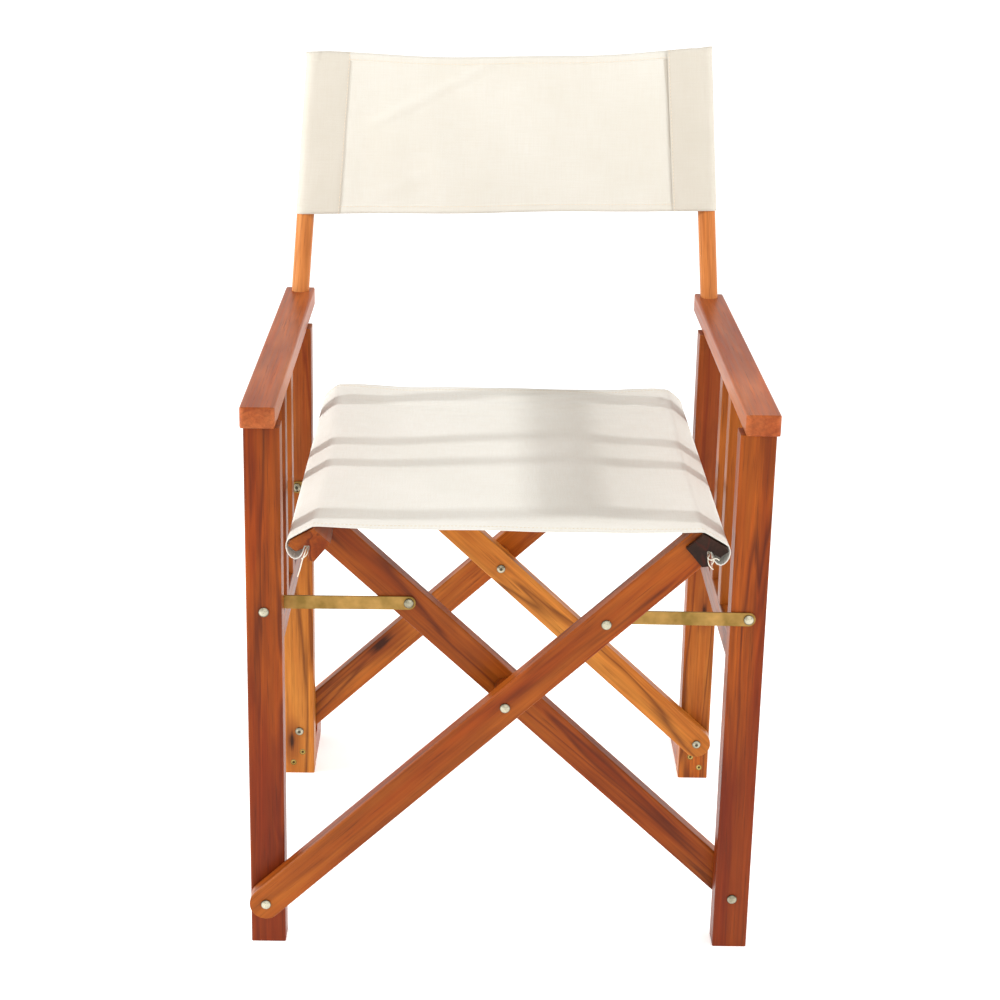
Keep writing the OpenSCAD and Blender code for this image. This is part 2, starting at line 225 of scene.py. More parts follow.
def wood(name, grain, tones, seed, rings, veins, knots=(), darkening=None):
    """Varnished timber. grain turns the board's length onto Z; tones are dark, middle and light;
    rings is how close the growth rings lie and veins how dark the veins are; each knot is its
    centre, its radius and how far it reaches along the grain; darkening is the pair of heights in
    metres from which and to which the wood is painted darker, which on the rear legs is painted shade."""
    dark, middle, light = (linear(t) for t in tones)
    graph = Graph(name)
    spot = graph.place()
    board = graph.mapped(spot, turn=grain, shift=(seed * 0.37, seed * 0.61, seed * 0.23))
    long_way = graph.mapped(board, scale=(1.0, 1.0, 0.07))
    fine_way = graph.mapped(board, scale=(1.0, 1.0, 0.025))
    # growth rings cut by the board's faces
    rings_at = graph.noise(long_way, 22.0, 3.0, 0.5, 0.5)
    wave = graph.math("SINE", graph.math("MULTIPLY", rings_at, rings * math.tau * 2))
    ring = graph.spread(wave, -1.0, 1.0)
    streaks = graph.noise(fine_way, 310.0, 3.0, 0.6)
    pores = graph.spread(graph.noise(fine_way, 900.0, 1.0, 0.5), 0.62, 0.74)
    blotch = graph.spread(graph.noise(long_way, 34.0, 3.0, 0.55), 0.36, 0.66)
    broad_way = graph.mapped(board, scale=(1.0, 1.0, 0.3))
    patch = graph.spread(graph.noise(broad_way, 17.0, 3.0, 0.6), 0.36, 0.64)
    from_middle = graph.math("ABSOLUTE", graph.math("SUBTRACT", rings_at, 0.5))
    vein = graph.spread(from_middle, 0.002, 0.026, 1.0, 0.0)
    drift = graph.spread(graph.noise(board, 5.0, 1.0), 0.35, 0.65)
    colour = graph.mix(graph.math("MULTIPLY", ring, 0.45), middle, dark)
    colour = graph.mix(graph.math("MULTIPLY", blotch, 0.55), colour, light)
    colour = graph.mix(graph.math("MULTIPLY", patch, 0.5), colour, dark)
    colour = graph.mix(graph.math("MULTIPLY", drift, 0.25), colour, dark)
    colour = graph.mix(graph.math("MULTIPLY", vein, veins), colour, linear(VEIN))
    # painted shade on the rear legs, darker higher up where less light comes up from the floor; on the
    # front legs the wood only gets darker towards the bottom
    if darkening:
        up = graph.add("ShaderNodeSeparateXYZ", {0: spot}).outputs[2]
        colour = graph.mix(graph.spread(up, darkening[0], darkening[1], 0.0, 0.7), colour, linear(DARKENED_TONE))
    shade = graph.spread(streaks, 0.3, 0.7, 0.8, 1.13)
    tint = graph.add("ShaderNodeCombineColor", {0: shade, 1: shade, 2: shade}).outputs[0]
    colour = graph.mix(1.0, colour, tint, "MULTIPLY")
    colour = graph.mix(graph.math("MULTIPLY", pores, 0.4), colour, linear(PORE))
    for centre, radius, reach in knots:
        off = graph.add("ShaderNodeVectorMath", {0: spot, 1: centre}, operation="SUBTRACT").outputs[0]
        flat = graph.mapped(off, turn=grain)
        flat = graph.mapped(flat, scale=(1.0, 1.0, radius / reach))
        far = graph.add("ShaderNodeVectorMath", {0: flat}, operation="LENGTH").outputs["Value"]
        ragged = graph.math("ADD", far, graph.spread(streaks, 0.3, 0.7, -0.3 * radius, 0.3 * radius))
        heart = graph.spread(ragged, radius * 0.35, radius, 1.0, 0.0)
        halo = graph.spread(ragged, radius, radius * 2.6, 0.55, 0.0)
        colour = graph.mix(halo, colour, linear(KNOT_RIM))
        colour = graph.mix(graph.math("MULTIPLY", heart, 0.9), colour, linear(KNOT_HEART))
    # paler arrises: partly wear, partly a painted highlight along the edges
    soft = graph.add("ShaderNodeBevel", {"Radius": 0.0014}, samples=4).outputs[0]
    face = graph.add("ShaderNodeNewGeometry").outputs["Normal"]
    turned = graph.add("ShaderNodeVectorMath", {0: soft, 1: face}, operation="DOT_PRODUCT")
    edge = graph.spread(turned.outputs["Value"], 0.995, 0.86)
    wear_and_highlight = graph.math("MULTIPLY", edge, graph.spread(blotch, 0.0, 1.0, 0.15, 0.5))
    colour = graph.mix(wear_and_highlight, colour, light)
    sheen = graph.spread(streaks, 0.3, 0.7, 0.30, 0.42)
    height = graph.math("SUBTRACT", graph.math("MULTIPLY", streaks, 0.5), pores)
    bump = graph.add("ShaderNodeBump", {"Height": height, "Strength": 0.22, "Distance": 0.0003,
                                        "Normal": soft}).outputs[0]
    graph.surface(**{"Base Color": colour, "Roughness": sheen, "Normal": bump,
                     "Specular IOR Level": 0.16})
    return graph.material


LEG = ("5a1a04", "a0430b", "cf7620")
REAR_LEG = ("84380c", "b45e1a", "d88c3a")
ARM = ("843818", "b85c2c", "d8864c")
INNER = ("662608", "a04c16", "c87630")
POST = ("b4622a", "d88844", "eca662")
BAR = ("6a2506", "9e470e", "c27226")
PALE_BAR = ("9c5018", "cc7c2e", "e6a44a")
PALE_LEG = ("9a4e1a", "c87828", "e6a44c")
RAIL_DARK = ("1a0d07", "301a10", "4a2d1e")

WOODS = {                              # direction of the grain, and tones
    "leg_front_left": (UPRIGHT, LEG), "leg_front_right": (UPRIGHT, LEG),
    "leg_rear_left": (UPRIGHT, PALE_LEG), "leg_rear_right": (UPRIGHT, REAR_LEG),
    "armrest_left": (LENGTHWISE, ARM), "armrest_right": (LENGTHWISE, ARM),
    "side_rail_left": (LENGTHWISE, INNER), "side_rail_right": (LENGTHWISE, INNER),
    "slat_left_1": (UPRIGHT, INNER), "slat_left_2": (UPRIGHT, INNER),
    "slat_right_1": (UPRIGHT, REAR_LEG), "slat_right_2": (UPRIGHT, INNER),
    "foot_left": (LENGTHWISE, ARM), "foot_right": (LENGTHWISE, ARM),
    "back_post_left": (POST_LEFT, POST), "back_post_right": (POST_RIGHT, POST),
    "bar_a_front": (BAR_TO_RIGHT, BAR), "bar_a_rear": (BAR_TO_RIGHT, REAR_LEG),
    "bar_b_front": (BAR_TO_LEFT, BAR), "bar_b_rear": (BAR_TO_LEFT, PALE_BAR),
    "seat_rail_left": (LENGTHWISE, BAR), "seat_rail_right": (LENGTHWISE, RAIL_DARK),
    "cross_spacer_front": (LENGTHWISE, INNER), "cross_spacer_rear": (LENGTHWISE, INNER),
}
HEIGHT_DARKENING = {                              # heights from which and to which the wood is painted darker: painted shade up high on the rear legs, darker towards the bottom on the front legs
    "leg_front_left": (0.38, 0.2), "leg_front_right": (0.38, 0.2),
    "leg_rear_left": (0.24, 0.42), "leg_rear_right": (0.15, 0.32),
}
KNOTS = {                              # centre, radius and reach along the grain
    "bar_a_rear": [(at(-153, rear + 30.6, 171), 0.008, 0.024)],
    "leg_rear_left": [(at(-268, rear, 46), 0.005, 0.016)],
    "leg_rear_right": [(at(262, rear, 236), 0.004, 0.014)],
}


def dress_wood():
    """Gives every wooden part a board of its own."""
    for seed, (node, (grain, tones)) in enumerate(WOODS.items(), start=1):
        rings = 3.0 if "post" in node else 4.0 + 1.5 * (seed % 3)
        veins = 0.15 if "armrest" in node or "post" in node else 0.6
        timber = wood(f"wood_{node}", grain, tones, seed, rings, veins, KNOTS.get(node, ()),
                      HEIGHT_DARKENING.get(node))
        put(nodes[node], timber)


def put(obj, material):
    """Gives every face of obj the one material."""
    obj.data.materials.clear()
    obj.data.materials.append(material)


# ---------------------------------------------------------------- metal and plastic

def metal(name, tones, roughness, patch=60.0, brushed=(1.0, 1.0, 1.0), cast=1.0, sockets=(),
          bore=1.9, head=5.4):
    """Plated steel with a cloudy colour and fine rubbing marks. patch is how small the clouds
    are, brushed stretches the marks and cast is how metallic it looks. sockets are the x and z of
    the fasteners: round their heads, of radius head, a shadow ring is painted, and on the rear half
    of the chair the heads have a driver's recess of radius bore, painted dark as shade."""
    graph = Graph(name)
    spot = graph.place()
    cloud = graph.spread(graph.noise(spot, patch, 3.0, 0.6), 0.35, 0.65)
    lines = graph.noise(graph.mapped(spot, scale=brushed), 900.0, 2.0, 0.6)
    colour = graph.mix(cloud, linear(tones[0]), linear(tones[1]))
    height = graph.math("MULTIPLY", lines, 0.0002)
    if sockets:
        axes = graph.add("ShaderNodeSeparateXYZ", {0: spot}).outputs
        off = None
        for x, z in sockets:
            across = graph.math("SUBTRACT", axes[0], x * MM)
            above = graph.math("SUBTRACT", axes[2], z * MM)
            near = graph.math("ADD", graph.math("POWER", across, 2.0), graph.math("POWER", above, 2.0))
            off = near if off is None else graph.math("MINIMUM", off, near)
        off = graph.math("SQRT", off, 0.0)
        behind = graph.spread(axes[1], front + 0.15, front + 0.16)
        inside = graph.spread(off, bore * MM, (bore + 0.3) * MM, 1.0, 0.0)
        recess = graph.math("MULTIPLY", inside, behind)
        # a painted shadow ring round each head's rim, and the driver's recess painted dark as shade
        rim_shadow = graph.spread(off, (head - 1.2) * MM, (head - 0.1) * MM, 0.0, 0.75)
        colour = graph.mix(rim_shadow, colour, linear("3c3222"))
        colour = graph.mix(graph.math("MULTIPLY", recess, 0.82), colour, linear("2b241a"))
        height = graph.math("SUBTRACT", height, graph.math("MULTIPLY", recess, 0.0008))
    soft = graph.add("ShaderNodeBevel", {"Radius": 0.0004}, samples=3).outputs[0]
    bump = graph.add("ShaderNodeBump", {"Height": height, "Strength": 0.6, "Distance": 1.0,
                                        "Normal": soft}).outputs[0]
    graph.surface(**{"Base Color": colour, "Metallic": cast, "Normal": bump,
                     "Roughness": graph.spread(lines, 0.3, 0.7, roughness - 0.06, roughness + 0.1)})
    return graph.material


def plastic(name, tone):
    """Dull plastic with a fine grain."""
    graph = Graph(name)
    grain = graph.noise(graph.place(), 700.0, 2.0)
    bump = graph.add("ShaderNodeBump", {"Height": grain, "Strength": 0.2, "Distance": 0.0003}).outputs[0]
    colour = graph.mix(graph.spread(grain, 0.3, 0.7), linear(tone), linear("4a3a30"))
    graph.surface(**{"Base Color": colour, "Roughness": 0.55, "Normal": bump})
    return graph.material


# x and z of the pivots and of the feet's screws
PIVOTS = [(-258, 60), (258, 60), (0, 300), (-258, 397.7), (258, 397.7), (-105, 397.7), (105, 397.7)]
SCREWS = {"left": [(-254, 30), (-266, 15)], "right": [(254, 30), (266, 15)]}


def dress_fittings():
    """Gives bolts, rivets, washers, screws, straps and glides their metal or plastic."""
    zinc = metal("zinc_plate", ("8f8a76", "c6c1aa"), 0.22, sockets=PIVOTS)
    washer = metal("washer_zinc", ("8d8870", "b5b098"), 0.32)
    strap = metal("strap_yellow_zinc", ("80642a", "b08848"), 0.38, patch=38.0, brushed=(0.05, 1.0, 1.0),
                  cast=0.7)
    glide = plastic("glide_plastic", "2c211b")
    for name, obj in nodes.items():
        if name.startswith("foot_screws"):
            word = name.rsplit("_", 1)[1]
            put(obj, metal(f"screw_yellow_zinc_{word}", ("94793c", "c8ae6a"), 0.3,
                           sockets=SCREWS[word], bore=1.5, head=3.9))
        elif name.startswith("pivot_washers"):
            put(obj, washer)
        elif "bolts" in name or name.startswith("strap_rivet"):
            put(obj, zinc)
        elif name.startswith("strap_"):
            put(obj, strap)
        elif name.startswith("foot_glide"):
            put(obj, glide)


# ---------------------------------------------------------------- canvas

ROW_STEP = 4.0                         # between two rows of a cloth's mesh
THREAD = 0.0011                        # two threads of the weave, in metres
CLOTH_THICK = 0.9                      # in millimetres


def canvas(name, tones, warm):
    """Plain woven cotton. The piece's UV map is in metres along its two thread directions."""
    graph = Graph(name)
    cloth = graph.place("UV")
    axes = graph.add("ShaderNodeSeparateXYZ", {0: cloth})
    across = graph.math("SINE", graph.math("MULTIPLY", axes.outputs[0], math.tau / THREAD))
    along = graph.math("SINE", graph.math("MULTIPLY", axes.outputs[1], math.tau / THREAD))
    weave = graph.math("MULTIPLY", across, along)
    slub_a = graph.noise(graph.mapped(cloth, scale=(0.05, 1.0, 1.0)), 620.0, 2.0, 0.6)
    slub_b = graph.noise(graph.mapped(cloth, scale=(1.0, 0.05, 1.0)), 620.0, 2.0, 0.6)
    slub = graph.math("ADD", slub_a, slub_b)
    cloud = graph.spread(graph.noise(cloth, 7.0, 3.0, 0.6), 0.35, 0.65)
    colour = graph.mix(cloud, linear(tones[0]), linear(tones[1]))
    colour = graph.mix(graph.spread(slub, 0.8, 1.25, 0.0, 0.3), colour, linear(warm))
    colour = graph.mix(graph.spread(weave, -1.0, 1.0, 0.16, 0.0), colour, linear("b9b09c"))
    height = graph.math("ADD", graph.math("MULTIPLY", weave, 0.5), graph.math("MULTIPLY", slub, 1.4))
    bump = graph.add("ShaderNodeBump", {"Height": height, "Strength": 0.25, "Distance": 0.0005})
    graph.surface(**{"Base Color": colour, "Roughness": 0.88, "Normal": bump.outputs[0],
                     "Sheen Weight": 0.15, "Sheen Roughness": 0.5, "Specular IOR Level": 0.25})
    return graph.material


def thread_material(name, tone):
    """Twisted cotton yarn."""
    graph = Graph(name)
    twist = graph.noise(graph.place(), 1500.0, 1.0)
    bump = graph.add("ShaderNodeBump", {"Height": twist, "Strength": 0.3, "Distance": 0.0003}).outputs[0]
    colour = graph.mix(graph.spread(twist, 0.3, 0.7, 0.0, 0.35), linear(tone), linear("c9bfa8"))
    graph.surface(**{"Base Color": colour, "Roughness": 0.85, "Normal": bump})
    return graph.material


def link(name, mesh):
    """A new object in the scene."""
    obj = bpy.data.objects.new(name, mesh)
    bpy.context.scene.collection.objects.link(obj)
    return obj


def settled(obj):
    """Turns obj and its modifiers into one plain mesh object of the same name."""
    name = obj.name
    graph = bpy.context.evaluated_depsgraph_get()
    mesh = bpy.data.meshes.new_from_object(obj.evaluated_get(graph))
    bpy.data.objects.remove(obj)
    return link(name, mesh)


def cloth_sheet(name, rows, uvs, material):
    """A closed sheet of cloth from rows of points, each row the same length."""
    wide = len(rows[0])
    points = [p for row in rows for p in row]
    flat = [p for row in uvs for p in row]
    faces = []
    for j in range(len(rows) - 1):
        for i in range(wide - 1):
            a = j * wide + i
            faces.append((a, a + 1, a + wide + 1, a + wide))
    mesh = bpy.data.meshes.new(name)
    mesh.from_pydata(points, [], faces)
    layer = mesh.uv_layers.new(name="cloth")
    for loop in mesh.loops:
        layer.data[loop.index].uv = flat[loop.vertex_index]
    mesh.shade_smooth()
    obj = link(name, mesh)
    solidify = obj.modifiers.new("thickness", "SOLIDIFY")
    solidify.thickness = CLOTH_THICK * MM
    solidify.offset = 0.0
    obj = settled(obj)
    put(obj, material)
    return obj


def smooth(value, low, high):
    """0 below low, 1 above high and an eased rise between them."""
    t = min(max((value - low) / (high - low), 0.0), 1.0)
    return t * t * (3 - 2 * t)


def along_path(corners, count):
    """Evenly spaced points on a rounded path through corners, with the distance of each."""
    fine = []
    last = len(corners) - 1
    for i in range(last):
        p0, p1 = corners[max(i - 1, 0)], corners[i]
        p2, p3 = corners[i + 1], corners[min(i + 2, last)]
        parts = max(4, int((Vector(p2) - Vector(p1)).length / 0.5))
        for k in range(parts):
            t = k / parts
            fine.append(tuple(0.5 * (2 * b + (c - a) * t + (2 * a - 5 * b + 4 * c - d) * t * t
                                     + (3 * b - a - 3 * c + d) * t ** 3)
                              for a, b, c, d in zip(p0, p1, p2, p3)))
    fine.append(tuple(corners[-1]))
    run = [0.0]
    for a, b in zip(fine, fine[1:]):
        run.append(run[-1] + math.dist(a, b))
    out, j = [], 0
    for k in range(count + 1):
        want = run[-1] * k / count
        while j < len(run) - 2 and run[j + 1] < want:
            j += 1
        t = (want - run[j]) / max(run[j + 1] - run[j], 1e-9)
        out.append((tuple(a + (b - a) * t for a, b in zip(fine[j], fine[j + 1])), want))
    return out


# Half of the seat's section, in millimetres from the ridge of the right rail: the flat, the fall
# over the rail, the wrap below it and the end in the rail's slot.
SEAT_FLAT = [(-202, 1.2), (-150, 1.2), (-90, 1.2), (-40, 1.2), (-10, 1.2)]
FALL_CLOSE = [(-3, 1.15), (1.6, 0.5), (6, -1.9), (14, -6.5), (22, -11.1), (26.2, -13.8)]
FALL_WIDE = [(3.5, 1.5), (9.0, 1.1), (13.0, -1.1), (18.5, -5.4), (23.6, -10.2), (26.6, -13.6)]
WRAP_TIGHT = [(27.9, -16.2), (27.6, -18.9), (25.0, -21.4), (21.6, -24.2), (18.6, -25.9),
              (15.2, -25.2), (12.0, -23.7), (10.7, -21.9)]
WRAP_LOOSE = [(28.7, -16.6), (29.5, -21.0), (28.3, -27.0), (25.0, -32.4), (20.2, -35.2),
              (15.6, -33.4), (12.6, -29.2), (10.9, -24.4)]
SLOT_END = [(10.1, -20.2), (8.9, -19.1), (7.4, -18.85), (5.9, -19.6), (5.25, -21.4), (5.6, -24.5)]
RIDGE_X, RIDGE_Z = 202.0, 502.0
SEAT_FRONT = -23.0
SEAT_BACK = rear + 96.0
HEM = 11.0
THREAD_OUT = 0.00055                   # from the middle of a cloth to its seam, in metres
SEAT_STEPS = 136


def seat_lift(x, y):
    """How far the seat cloth stands above its taut line, in millimetres."""
    inside = 1 - smooth(abs(x), 120, 200)
    length = SEAT_BACK - SEAT_FRONT
    share = (y - SEAT_FRONT) / length
    sag = -3.2 * inside * (0.75 + 0.25 * math.sin(math.pi * share))
    hung = 1 - smooth(abs(x), 196, 204)
    back_folds = smooth(share, 0.6, 0.95) * (noise.noise(Vector((x * 0.006, y * 0.055, 3.1)))
                                             + 0.8 * noise.noise(Vector((x * 0.011, y * 0.12, 7.7))))
    front_folds = smooth(1 - share, 0.8, 1.0) * noise.noise(Vector((x * 0.007, y * 0.05, 8.2)))
    broad = noise.noise(Vector((x * 0.012, y * 0.014, 1.7)))
    pulls = smooth(abs(x), 110, 195) * noise.noise(Vector((x * 0.008, y * 0.075, 5.5)))
    return sag + hung * (2.6 * back_folds + 1.6 * front_folds + 1.0 * broad + 0.9 * pulls)


def spaced(low, high, step, hem):
    """Values from low to high, with extra ones where a hem's step lies at each end."""
    count = round((high - low) / step)
    values = {low + (high - low) * k / count for k in range(count + 1)}
    for d in (hem - 1.0, hem - 0.2, hem + 0.6):
        values |= {low + d, high - d}
    return sorted(values)


def hem_step(distance):
    """The extra height of a turned hem at that distance from the edge."""
    return 0.55 * (1 - smooth(distance, HEM - 1.0, HEM + 0.6))


def between(a, b, share):
    """The line of points that lies that share of the way from a to b."""
    return [tuple(p + (q - p) * share for p, q in zip(u, v)) for u, v in zip(a, b)]


def seat_section(y):
    """The cloth's line across the seat at y: loose under the rails in front, wider at the back."""
    share = (y - SEAT_FRONT) / (SEAT_BACK - SEAT_FRONT)
    fall = between(FALL_CLOSE, FALL_WIDE, smooth(share, 0.45, 1.0))
    wrap = between(WRAP_TIGHT, WRAP_LOOSE, 1 - smooth(y - SEAT_FRONT, 3, 40))
    right = [(RIDGE_X + x, RIDGE_Z + z) for x, z in SEAT_FLAT + fall + wrap + SLOT_END]
    left = [(-x, z) for x, z in reversed(right[1:])]
    return along_path(left + right, SEAT_STEPS)


def seat_point(section, i, y):
    """The seat cloth's point i of its section at y, with folds and hems."""
    (x, z), _ = section[i]
    (xa, za), (xb, zb) = section[max(i - 1, 0)][0], section[min(i + 1, len(section) - 1)][0]
    out = Vector((za - zb, xb - xa)).normalized()
    lift = seat_lift(x, y) if z > RIDGE_Z - 1.5 else 0.0
    if z > RIDGE_Z - 16:
        lift += hem_step(min(y - SEAT_FRONT, SEAT_BACK - y))
    wander = 1.1 * noise.noise(Vector((x * 0.02, y * 0.01, 11.0)))
    edge = max(1 - smooth(y - SEAT_FRONT, 0, 30), 1 - smooth(SEAT_BACK - y, 0, 30))
    return at(x + out.x * lift, y + wander * edge, z + out.y * lift)


def make_seat(material):
    """The seat cloth, the lines of its two hem seams and its width laid flat."""
    rows, uvs = [], []
    for y in spaced(SEAT_FRONT, SEAT_BACK, ROW_STEP, HEM):
        section = seat_section(y)
        rows.append([seat_point(section, i, y) for i in range(len(section))])
        uvs.append([(s * MM, y * MM) for _, s in section])
    seat = cloth_sheet("seat_canvas", rows, uvs, material)
    lines = []
    for y in (SEAT_FRONT + HEM - 2.0, SEAT_BACK - HEM + 2.0):
        section = seat_section(y)
        shown = [i for i, ((x, z), _) in enumerate(section) if z > RIDGE_Z - 14]
        lines.append([seat_point(section, i, y) + Vector((0, 0, THREAD_OUT)) for i in shown])
    wide = seat_section(200)[-1][1]
    return seat, lines, wide


# The back is measured in the plane that leans with the posts.
POST_X, POST_Z = 262.0, 605.0
POST_Y = rear + 104.0
SLEEVE = 12.3                          # radius of the sleeve's middle line
BACK_LOW, BACK_HIGH = 126.0, 328.0
BACK_TALL = BACK_HIGH - BACK_LOW
SEAM = 44.0                            # from a post's centre line to the sleeve's seam
UNDER = 8.0                            # how far the middle runs on behind each sleeve
PANEL_IN = 1.0                         # how far it lies behind the sleeves' front
PANEL_STEPS, SEAM_STEPS, SLEEVE_STEPS = 102, 120, 62


def back_at(x, out, t):
    """x across, out behind the posts' plane and t up along it, in millimetres."""
    return at(x, POST_Y + out * math.cos(LEAN_BACK) + t * math.sin(LEAN_BACK),
              POST_Z - out * math.sin(LEAN_BACK) + t * math.cos(LEAN_BACK))


def post_centre(t):
    """x of the right post's centre line at t."""
    return POST_X - t * math.tan(LEAN_IN)


def back_edges(x):
    """The lowest and highest t of the back cloth at x."""
    share = min(abs(x) / 225.0, 1.0)
    slip = 5.6 * x / 225.0 - 2.0
    low = BACK_LOW + slip + 1.2 * math.sin(x * 0.021) * (1 - share)
    high = BACK_HIGH + slip - 8.5 * (1 - share ** 2) + 0.8 * math.sin(x * 0.03 + 1)
    return low, high


def crease(x, t, a, b):
    """Share along the line from a to b, and the distance off it."""
    run = Vector(b) - Vector(a)
    off = Vector((x, t)) - Vector(a)
    return off.dot(run) / run.length_squared, (off.x * run.y - off.y * run.x) / run.length


def back_wave(x, t):
    """How far the back cloth stands in front of its taut plane."""
    loose = 1 - smooth(abs(x), 150, 225)
    broad = noise.noise(Vector((x * 0.008, t * 0.012, 21.0)))
    ripple = noise.noise(Vector((x * 0.03, t * 0.006, 33.0)))
    along, off = crease(x, t, (-190, 221), (-20, 309))
    fold = 2.2 * math.exp(-(off / 5.5) ** 2) * smooth(along, 0.0, 0.2) * (1 - smooth(along, 0.85, 1.1))
    along, off = crease(x, t, (-190, 130), (-60, 190))
    fold += 0.9 * math.exp(-(off / 8.0) ** 2) * smooth(along, 0.0, 0.3) * (1 - smooth(along, 0.6, 1.0))
    edge = smooth(t, BACK_HIGH - 40, BACK_HIGH)
    curl = edge * 1.6 * noise.noise(Vector((x * 0.018, 2.0, 40.0)))
    return loose * 2.4 * broad + 0.7 * ripple + fold + curl


def level(x, share):
    """t of the back cloth at x, that share of the way from its lower to its upper hem."""
    low, high = back_edges(x)
    return low + (high - low) * share


def back_rows():
    """Rows from hem to hem as shares of the height, close together at the hems' steps."""
    return [(t - BACK_LOW) / BACK_TALL for t in spaced(BACK_LOW, BACK_HIGH, ROW_STEP, HEM)]


def make_back_panel(material):
    """The middle of the back; its right edge is tucked in so that the sleeve can slide over it."""
    rows, uvs = [], []
    for share in back_rows():
        reach = post_centre(BACK_LOW + BACK_TALL * share) - SEAM + UNDER
        row, flat = [], []
        for k in range(PANEL_STEPS + 1):
            x = reach * (2 * k / PANEL_STEPS - 1)
            t = level(x, share)
            hem = hem_step(min(share, 1 - share) * BACK_TALL)
            tuck = PANEL_IN + 1.8 * smooth(x, reach - 22, reach - 6)
            row.append(back_at(x, -SLEEVE + tuck - back_wave(x, t) - hem, t))
            flat.append((x * MM, t * MM))
        rows.append(row)
        uvs.append(flat)
    return cloth_sheet("back_panel", rows, uvs, material)


def back_hem_lines():
    """The seams of the back's lower and upper hems."""
    lines = []
    near = (HEM - 2) / BACK_TALL
    for share in (near, 1 - near):
        reach = post_centre(BACK_LOW + BACK_TALL * share) - SEAM
        line = []
        for k in range(SEAM_STEPS + 1):
            x = reach * (k / (SEAM_STEPS / 2) - 1)
            t = level(x, share)
            line.append(back_at(x, -SLEEVE + PANEL_IN - back_wave(x, t) - 1.1, t))
        lines.append(line)
    return lines


def sleeve_section():
    """The right sleeve seen from above: front seam, round the post, and back to the seam."""
    points = [(-SEAM, -SLEEVE + 0.75), (-SEAM + 2, -SLEEVE + 0.35), (-36, -SLEEVE),
              (-20, -SLEEVE - 0.1), (-10, -SLEEVE - 0.05)]
    for turn in range(0, 181, 15):
        a = math.radians(turn)
        points.append((SLEEVE * math.sin(a), -SLEEVE * math.cos(a)))
    points += [(-8, SLEEVE - 1.4), (-18, 5.4), (-28, -2.5), (-37, -7.9), (-SEAM, -9.4),
               (-SEAM - 6, -9.6)]
    return along_path(points, SLEEVE_STEPS)


def sleeve_point(side, section, i, share):
    """Point i of a sleeve's section at that share of its height, and its distance from the seam."""
    (px, out), s = section[i]
    t = BACK_LOW + BACK_TALL * share
    flare = smooth(share, 0.9, 1.0) * (0.8 if px > -5 else 0.0)
    dent = 0.5 * noise.noise(Vector((px * 0.06, t * 0.02, 50.0 + side)))
    reach = math.hypot(px, out)
    grow = 1 + (flare + max(dent, -0.1)) / reach
    x = post_centre(t) + px * grow
    low, high = back_edges(side * x)
    lift = 2.4 * smooth(px, -10, 12) * smooth(share, 0.85, 1.0) * (side > 0)
    hem = hem_step(min(share, 1 - share) * (high - low))
    near = 1 + hem / reach if out < 4 else 1
    return back_at(side * x, out * grow * near, low + (high - low) * share + lift), s


def make_sleeve(name, side, material):
    """A sleeve round one post, and the line of its front seam."""
    section = sleeve_section()
    rows, uvs = [], []
    for share in back_rows():
        line = [sleeve_point(side, section, i, share) for i in range(len(section))]
        if side < 0:
            line.reverse()
        rows.append([p for p, _ in line])
        uvs.append([((0.25 + s * MM) * side, share * 0.2) for _, s in line])
    seam = []
    for k in range(41):
        point, _ = sleeve_point(side, section, 1, k / 40)
        seam.append(point - Vector((0, THREAD_OUT, 0)))
    return cloth_sheet(name, rows, uvs, material), seam


# ---------------------------------------------------------------- stitches and frayed ends

def stitch_tree():
    """Stitches set along the edges of a mesh, one after another."""
    tree = bpy.data.node_groups.new("stitch_rows", "GeometryNodeTree")
    face = tree.interface
    face.new_socket("Geometry", in_out="INPUT", socket_type="NodeSocketGeometry")
    for name, value in (("Pitch", 0.0042), ("Stitch Length", 0.0031), ("Thread Width", 0.0007)):
        socket = face.new_socket(name, in_out="INPUT", socket_type="NodeSocketFloat")
        socket.default_value = value
    face.new_socket("Thread", in_out="INPUT", socket_type="NodeSocketMaterial")
    face.new_socket("Geometry", in_out="OUTPUT", socket_type="NodeSocketGeometry")
    add, join = tree.nodes.new, tree.links.new
    given, result = add("NodeGroupInput"), add("NodeGroupOutput")
    curve = add("GeometryNodeMeshToCurve")
    spread = add("GeometryNodeResampleCurve")
    spread.mode = "LENGTH"
    bead = add("GeometryNodeMeshUVSphere")
    bead.inputs["Segments"].default_value = 6
    bead.inputs["Rings"].default_value = 4
    bead.inputs["Radius"].default_value = 0.5
    size = add("ShaderNodeCombineXYZ")
    shape = add("GeometryNodeTransform")
    tangent = add("GeometryNodeInputTangent")
    aim = add("FunctionNodeAlignRotationToVector")
    aim.axis = "Z"
    place = add("GeometryNodeInstanceOnPoints")
    real = add("GeometryNodeRealizeInstances")
    paint = add("GeometryNodeSetMaterial")
    join(given.outputs["Geometry"], curve.inputs["Mesh"])
    join(curve.outputs["Curve"], spread.inputs["Curve"])
    join(given.outputs["Pitch"], spread.inputs["Length"])
    join(given.outputs["Thread Width"], size.inputs["X"])
    join(given.outputs["Thread Width"], size.inputs["Y"])
    join(given.outputs["Stitch Length"], size.inputs["Z"])
    join(bead.outputs["Mesh"], shape.inputs["Geometry"])
    join(size.outputs["Vector"], shape.inputs["Scale"])
    join(tangent.outputs["Tangent"], aim.inputs["Vector"])
    join(spread.outputs["Curve"], place.inputs["Points"])
    join(shape.outputs["Geometry"], place.inputs["Instance"])
    join(aim.outputs["Rotation"], place.inputs["Rotation"])
    join(place.outputs["Instances"], real.inputs["Geometry"])
    join(real.outputs["Geometry"], paint.inputs["Geometry"])
    join(given.outputs["Thread"], paint.inputs["Material"])
    join(paint.outputs["Geometry"], result.inputs["Geometry"])
    return tree


